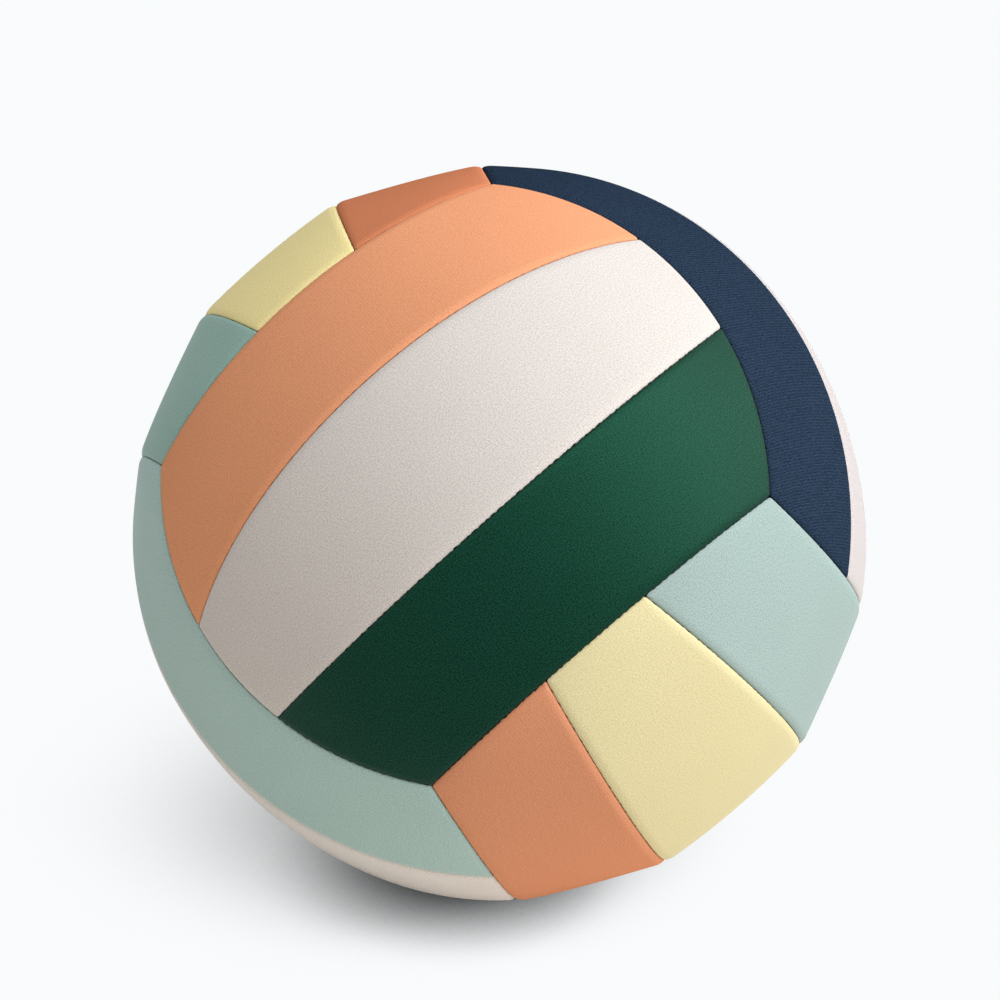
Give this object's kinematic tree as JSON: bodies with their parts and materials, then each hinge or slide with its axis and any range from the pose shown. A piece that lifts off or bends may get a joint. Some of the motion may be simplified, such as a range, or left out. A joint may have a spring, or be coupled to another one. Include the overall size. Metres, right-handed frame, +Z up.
{
  "type": "volleyball",
  "caption": "Inflated volleyball with a soft sewn cover of coloured strip panels, thread runs in the seams, a rubber bladder inside and a needle valve.",
  "frame": {"origin": "centre of the ball, which is the centre of its bounding box", "axes": "+Z up from the floor the ball lies on, -Y towards the picture's viewer, +X to that viewer's right"},
  "size_m": [0.2098, 0.21, 0.2098],
  "materials": {
    "cover_orange": "knitted, soft matt",
    "cover_cream": "knitted, soft matt",
    "cover_green": "knitted, soft matt",
    "cover_navy": "knitted, soft matt",
    "cover_sage": "knitted, soft matt",
    "cover_yellow": "knitted, soft matt",
    "thread": "twisted sewing thread",
    "bladder": "smooth rubber",
    "valve": "smooth moulded rubber",
    "patch": "woven cloth"
  },
  "bodies": {
    "root": {"front_panel_orange": "cover_orange", "front_panel_cream": "cover_cream", "front_panel_green": "cover_green", "back_panel_green": "cover_green", "back_panel_cream": "cover_cream", "back_panel_orange": "cover_orange", "right_panel_navy": "cover_navy", "right_panel_cream": "cover_cream", "right_panel_sage": "cover_sage", "left_panel_sage": "cover_sage", "left_panel_cream": "cover_cream", "left_panel_navy": "cover_navy", "top_panel_orange": "cover_orange", "top_panel_yellow": "cover_yellow", "top_panel_sage": "cover_sage", "bottom_panel_sage": "cover_sage", "bottom_panel_yellow": "cover_yellow", "bottom_panel_orange": "cover_orange", "front_strip_thread_a": "thread", "front_strip_thread_b": "thread", "front_end_thread_a": "thread", "front_end_thread_b": "thread", "back_strip_thread_a": "thread", "back_strip_thread_b": "thread", "back_end_thread_a": "thread", "back_end_thread_b": "thread", "right_strip_thread_a": "thread", "right_strip_thread_b": "thread", "right_end_thread_a": "thread", "right_end_thread_b": "thread", "left_strip_thread_a": "thread", "left_strip_thread_b": "thread", "left_end_thread_a": "thread", "left_end_thread_b": "thread", "top_strip_thread_a": "thread", "top_strip_thread_b": "thread", "top_end_thread_a": "thread", "top_end_thread_b": "thread", "bottom_strip_thread_a": "thread", "bottom_strip_thread_b": "thread", "bottom_end_thread_a": "thread", "bottom_end_thread_b": "thread", "bladder": "bladder", "valve_patch": "patch", "valve_housing": "valve", "valve_plug": "valve"}
  },
  "joints": []
}
